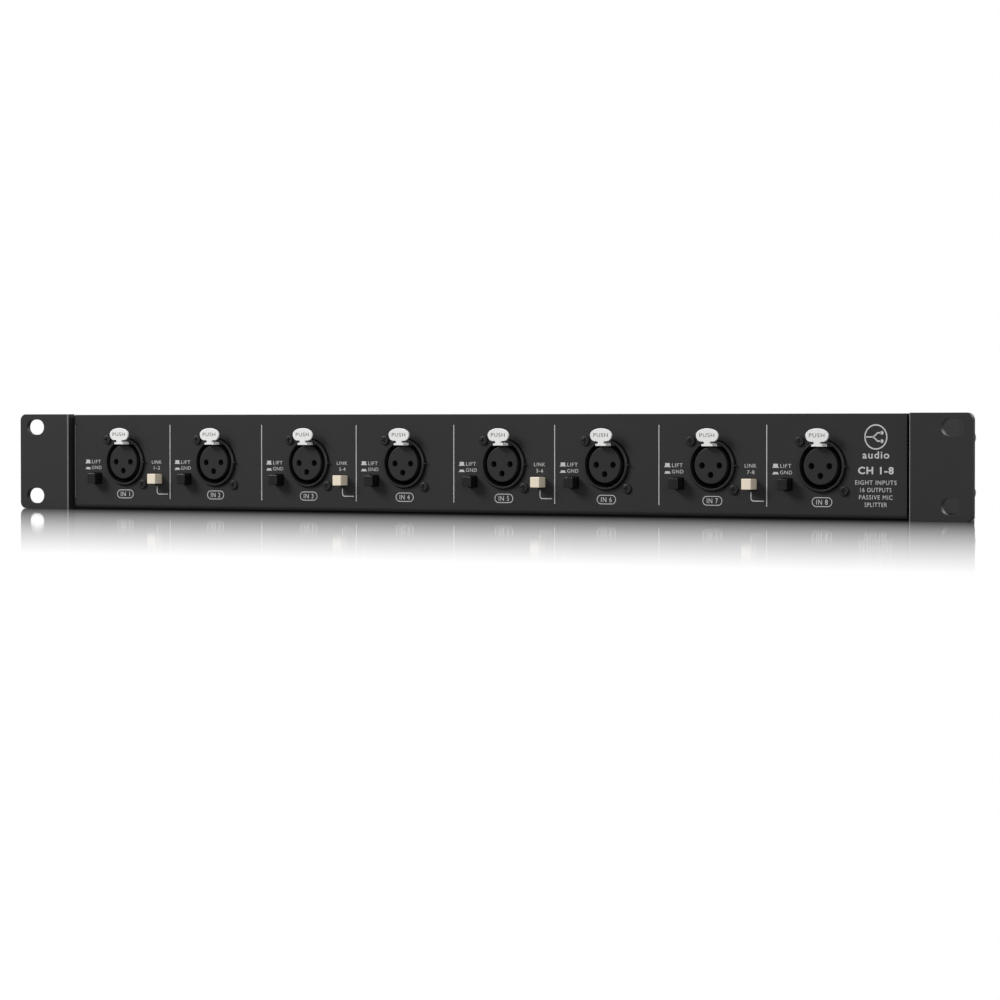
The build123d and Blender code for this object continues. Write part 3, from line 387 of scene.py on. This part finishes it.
class Print:
    """Ink laid on a plane that faces the front or the rear: flat shapes with a little thickness."""

    def __init__(self, name, body, plane_y, ink, slot, backwards=False):
        self.name, self.body, self.plane_y = name, body, plane_y
        self.ink, self.slot = ink, slot
        self.side = -1.0 if backwards else 1.0
        self.mesh = bmesh.new()

    def spot(self, x, z, lift):
        return (x, self.plane_y - self.side * lift, z)

    def prism(self, outline):
        """Fills a closed outline of (x, z) points, as a thin slab."""
        back = [self.mesh.verts.new(self.spot(x, z, -0.2 * INK)) for x, z in outline]
        front = [self.mesh.verts.new(self.spot(x, z, INK)) for x, z in outline]
        self.mesh.faces.new(front)
        self.mesh.faces.new(list(reversed(back)))
        for i in range(len(outline)):
            j = (i + 1) % len(outline)
            self.mesh.faces.new((front[i], back[i], back[j], front[j]))

    def bar(self, x0, x1, z0, z1):
        self.prism([(x0, z0), (x1, z0), (x1, z1), (x0, z1)])

    def ribbon(self, points, width, closed=False):
        """A line of even width along points, mitred at its corners."""
        count = len(points)
        left, right = [], []
        for i, point in enumerate(points):
            here = Vector(point)
            before = Vector(points[(i - 1) % count]) if closed or i else here
            after = Vector(points[(i + 1) % count]) if closed or i < count - 1 else here
            a = (here - before).normalized() if before != here else (after - here).normalized()
            b = (after - here).normalized() if after != here else a
            along = (a + b).normalized()
            across = Vector((-along.y, along.x)) * (width / 2 / max(0.3, along.dot(a)))
            left.append(tuple(here + across))
            right.append(tuple(here - across))
        last = count if closed else count - 1
        rows = [[self.mesh.verts.new(self.spot(x, z, lift)) for x, z in side]
                for side in (left, right) for lift in (-0.2 * INK, INK)]
        left_back, left_front, right_back, right_front = rows
        for i in range(last):
            j = (i + 1) % count
            self.mesh.faces.new((left_front[i], right_front[i], right_front[j], left_front[j]))
            self.mesh.faces.new((left_back[j], right_back[j], right_back[i], left_back[i]))
            self.mesh.faces.new((left_back[i], left_front[i], left_front[j], left_back[j]))
            self.mesh.faces.new((right_front[i], right_back[i], right_back[j], right_front[j]))
        if not closed:
            for i in (0, count - 1):
                self.mesh.faces.new((left_back[i], right_back[i], right_front[i], left_front[i]))

    def stepped_bar(self, x, base, step, top):
        """A bar standing on a wider, thinner foot."""
        half, foot = 1.1 * MM, 1.55 * MM
        self.prism([(x - foot, base), (x + foot, base), (x + foot, step), (x + half, step),
                    (x + half, top), (x - half, top), (x - half, step), (x - foot, step)])

    def word(self, text, x, z, width, height, bold=0.0):
        """Letters fitted to a width and capital height, centred on x with their feet at z."""
        curve = bpy.data.curves.new("word", "FONT")
        curve.body = text
        curve.extrude = 0.5
        curve.offset = bold
        curve.resolution_u = 3
        curve.space_character = LETTER_SPACE
        holder = bpy.data.objects.new("word", curve)
        flat = bpy.data.meshes.new_from_object(holder)
        xs = [v.co.x for v in flat.vertices]
        tops = [v.co.y for v in flat.vertices]
        cap = max(tops)
        scale_x = width / (max(xs) - min(xs))
        middle = (max(xs) + min(xs)) / 2
        for v in flat.vertices:
            lift = INK if v.co.z > 0 else -0.2 * INK
            v.co = self.spot(x + self.side * (v.co.x - middle) * scale_x, z + v.co.y * height / cap, lift)
        self.mesh.from_mesh(flat)
        bpy.data.objects.remove(holder)
        bpy.data.curves.remove(curve)
        bpy.data.meshes.remove(flat)

    def done(self):
        bmesh.ops.recalc_face_normals(self.mesh, faces=self.mesh.faces)
        data = bpy.data.meshes.new(self.name)
        self.mesh.to_mesh(data)
        self.mesh.free()
        data.materials.append(self.ink)
        piece = bpy.data.objects.new(self.name, data)
        bpy.context.scene.collection.objects.link(piece)
        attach(piece, self.body)
        return piece


def arc(cx, cz, radius, start, end, steps):
    """Points along a circular arc, angles in degrees."""
    angles = [math.radians(start + (end - start) * i / steps) for i in range(steps + 1)]
    return [(cx + radius * math.cos(a), cz + radius * math.sin(a)) for a in angles]


def oval(cx, cz, width, height):
    """Outline of a bar with round ends."""
    radius = height / 2
    reach = width / 2 - radius
    return arc(cx + reach, cz, radius, -90, 90, 14) + arc(cx - reach, cz, radius, 90, 270, 14)


LETTER_SPACE = 1.15
LINE_WIDTH = 0.38 * MM
DIVIDER_TOP = 16.9 * MM
DIVIDER_LOW = -16.8 * MM

dividers = Print("divider_lines", BODY, PANEL_Y, INK_WHITE, "panel_paint")
for x in CHANNEL_X[:-1]:
    middle = x + PITCH / 2
    dividers.bar(middle - LINE_WIDTH / 2, middle + LINE_WIDTH / 2, DIVIDER_LOW, DIVIDER_TOP)
dividers.done()

edge_line = Print("panel_edge_line", BODY, PANEL_Y, INK_GREY, "panel_paint")
edge_line.bar(tray_low.x + 0.1 * MM, tray_low.x + 0.4 * MM, DIVIDER_LOW, DIVIDER_TOP)
edge_line.done()

legends = Print("channel_legends", BODY, PANEL_Y, INK_WHITE, "panel_paint")
for number, x in zip(CHANNELS, CHANNEL_X):
    legends.stepped_bar(x - 21.3 * MM, -0.8 * MM, -0.5 * MM, 0.9 * MM)
    legends.stepped_bar(x - 21.3 * MM, -3.5 * MM, -3.2 * MM, -2.5 * MM)
    legends.word("LIFT", x - 16.6 * MM, -0.75 * MM, 5.0 * MM, 1.55 * MM)
    legends.word("GND", x - 16.45 * MM, -3.4 * MM, 5.5 * MM, 1.5 * MM)
    legends.word(f"IN {number}", x, -15.75 * MM, 5.2 * MM, 2.1 * MM)
    legends.ribbon(oval(x, -14.7 * MM, 9.0 * MM, 3.65 * MM), 0.3 * MM, closed=True)
legends.done()

links = Print("link_legends", BODY, PANEL_Y, INK_WHITE, "panel_paint")
for number in range(1, 8, 2):
    x = CHANNEL_X[number - 1]
    links.word("LINK", x + 17.9 * MM, -0.75 * MM, 5.5 * MM, 1.5 * MM)
    links.word(f"{number}-{number + 1}", x + 18.0 * MM, -3.4 * MM, 3.4 * MM, 1.5 * MM)
    corner = arc(x + 19.3 * MM, -13.4 * MM, 1.2 * MM, 180, 270, 6)
    links.ribbon([(x + 18.1 * MM, -11.0 * MM)] + corner + [(x + 24.1 * MM, -14.6 * MM)], LINE_WIDTH)
links.done()

mark = Print("unit_mark", BODY, PANEL_Y, INK_WHITE, "panel_paint")
mark_x = CHANNEL_X[-1] + 24.3 * MM
mark.ribbon(arc(mark_x, 12.0 * MM, 4.9 * MM, 0, 350, 35), 0.55 * MM, closed=True)
mark.ribbon([(mark_x - 4.9 * MM, 12.0 * MM), (mark_x - 1.2 * MM, 12.0 * MM)], 0.55 * MM)
for side in (-1, 1):
    fork = [(mark_x - 1.2 * MM, 12.0 * MM), (mark_x + 0.9 * MM, (12.0 + side * 1.7) * MM),
            (mark_x + 2.4 * MM, (12.0 + side * 1.7) * MM)]
    mark.ribbon(fork, 0.55 * MM)
    mark.prism(arc(mark_x + 2.7 * MM, (12.0 + side * 1.7) * MM, 0.75 * MM, 0, 340, 17))
mark.word("audio", mark_x, 3.3 * MM, 12.0 * MM, 2.9 * MM, bold=0.015)
mark.word("CH 1-8", mark_x, -3.0 * MM, 16.0 * MM, 2.9 * MM, bold=0.03)
SMALL_LINES = (("EIGHT INPUTS", 18.5), ("16 OUTPUTS", 14.0), ("PASSIVE MIC", 15.0), ("SPLITTER", 10.0))
for row, (text, width) in enumerate(SMALL_LINES):
    mark.word(text, mark_x, (-7.4 - 3.0 * row) * MM, width * MM, 1.75 * MM)
mark.done()

# Finger words on the latch tabs
for number, x in zip(CHANNELS, CHANNEL_X):
    low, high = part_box(f"latch_tab_{number}")
    word = Print(f"push_word_{number}", f"latch_tab_{number}", low.y, INK_GREY, "latch_metal")
    word.word("PUSH", x, high.z - 3.6 * MM, 7.0 * MM, 1.6 * MM)
    word.done()

# Rear legends: channel numbers with the kind of output
rear = Print("rear_legends", BODY, REAR_Y, INK_WHITE, "panel_paint", backwards=True)
for number, x in zip(CHANNELS, CHANNEL_X):
    for offset, text in ((-12.7, "DIRECT"), (12.7, "SPLIT")):
        rear.word(f"{text} {number}", x + offset * MM, -18.6 * MM, 9.5 * MM, 1.7 * MM, bold=0.01)
for x in CHANNEL_X[:-1]:
    middle = x + PITCH / 2
    rear.bar(middle - LINE_WIDTH / 2, middle + LINE_WIDTH / 2, DIVIDER_LOW, DIVIDER_TOP)
rear.done()
